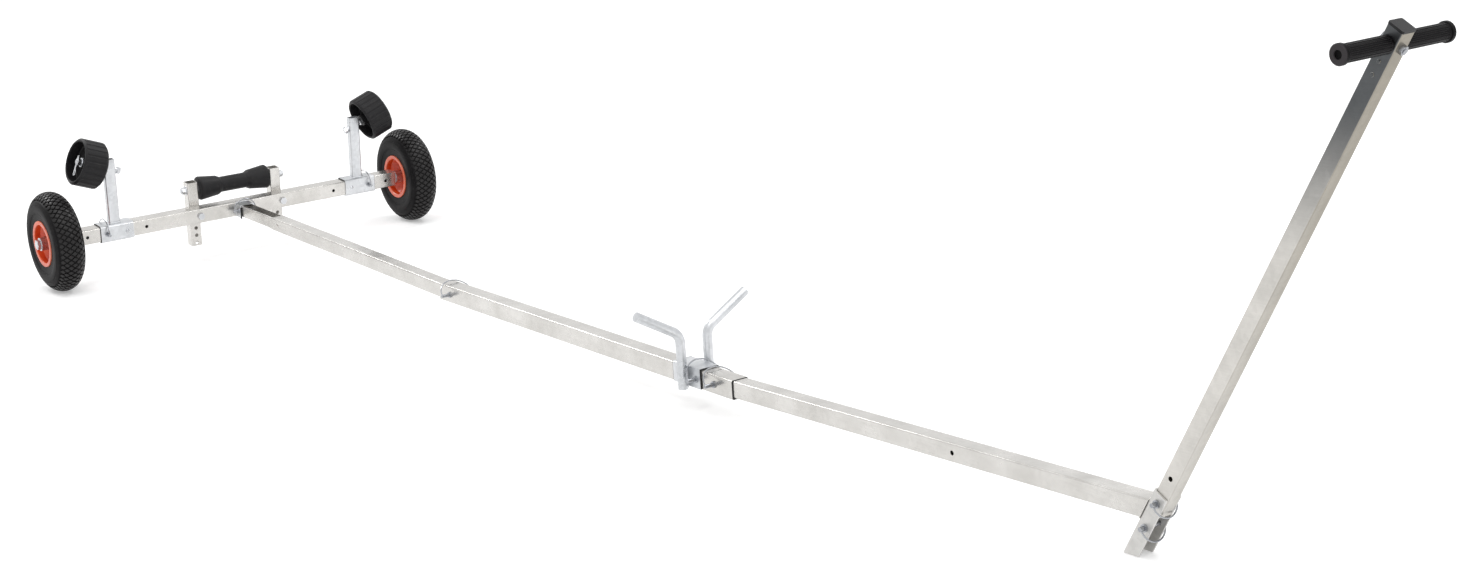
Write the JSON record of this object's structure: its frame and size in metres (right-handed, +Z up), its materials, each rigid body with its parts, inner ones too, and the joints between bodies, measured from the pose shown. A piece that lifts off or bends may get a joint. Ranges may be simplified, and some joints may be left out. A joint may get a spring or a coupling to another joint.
{
  "type": "hand launching trolley",
  "caption": "Two-wheeled hand trolley for launching a small boat, with a long tubular draw bar, keel and side rollers, a forked bow rest and a raked T-handle.",
  "frame": {"origin": "on the floor under the centre of the trolley's length and width", "axes": "+X runs forward from the axle to the handle, +Y to port, +Z up"},
  "size_m": [4.0132, 1.1408, 0.8846],
  "materials": {
    "galvanised_tube": "galvanised, dull",
    "zinc_plate": "bright zinc, satin",
    "fastener": "zinc plated",
    "tyre": "matt black rubber",
    "rim": "semi-gloss orange-red",
    "roller": "satin black rubber",
    "grip": "matt black rubber",
    "cap": "matt black plastic"
  },
  "bodies": {
    "chassis": {"axle_beam": "galvanised_tube", "axle_stub_port": "zinc_plate", "axle_stub_starboard": "zinc_plate", "bow_arm_port": "zinc_plate", "bow_arm_starboard": "zinc_plate", "bow_saddle": "zinc_plate", "coupling_bracket": "zinc_plate", "coupling_tongue": "galvanised_tube", "draw_tube_front": "galvanised_tube", "draw_tube_middle": "galvanised_tube", "draw_tube_rear": "galvanised_tube", "grip_bar": "zinc_plate", "grip_port": "grip", "grip_starboard": "grip", "handle_bolt": "fastener", "handle_cap": "cap", "handle_socket": "zinc_plate", "handle_tube": "galvanised_tube", "keel_shaft": "fastener", "keel_upright_port": "galvanised_tube", "keel_upright_starboard": "galvanised_tube", "lock_pin_bow": "fastener", "lock_pin_coupling": "fastener", "lock_pin_side_port": "fastener", "lock_pin_side_starboard": "fastener", "lock_pin_socket_lower": "fastener", "lock_pin_socket_upper": "fastener", "lock_pin_tube_front": "fastener", "lock_pin_tube_rear": "fastener", "side_bracket_port": "zinc_plate", "side_bracket_starboard": "zinc_plate", "side_spindle_port": "fastener", "side_spindle_starboard": "fastener", "upright_bolt_port": "fastener", "upright_bolt_starboard": "fastener"},
    "wheel_port": {"tyre_port": "tyre", "rim_port": "rim", "hub_port": "fastener"},
    "side_roller_port": {"side_roller_port": "roller"},
    "wheel_starboard": {"tyre_starboard": "tyre", "rim_starboard": "rim", "hub_starboard": "fastener"},
    "side_roller_starboard": {"side_roller_starboard": "roller"},
    "keel_roller": {"keel_roller": "roller"}
  },
  "joints": [
    {"name": "wheel_port_spin", "type": "hinge", "parent": "chassis", "child": "wheel_port", "pos_m": [-1.87458, 0.518, 0.132], "axis": [0, 1, 0], "continuous": true},
    {"name": "wheel_starboard_spin", "type": "hinge", "parent": "chassis", "child": "wheel_starboard", "pos_m": [-1.87458, -0.518, 0.132], "axis": [0, 1, 0], "continuous": true},
    {"name": "side_roller_port_spin", "type": "hinge", "parent": "chassis", "child": "side_roller_port", "pos_m": [-1.85273, 0.4144, 0.32376], "axis": [0.0417, 0.9298, 0.3658], "continuous": true},
    {"name": "side_roller_starboard_spin", "type": "hinge", "parent": "chassis", "child": "side_roller_starboard", "pos_m": [-1.85273, -0.4144, 0.32376], "axis": [-0.0417, 0.9298, -0.3658], "continuous": true},
    {"name": "keel_roller_spin", "type": "hinge", "parent": "chassis", "child": "keel_roller", "pos_m": [-1.90245, 0, 0.19657], "axis": [0, 1, 0], "continuous": true}
  ]
}
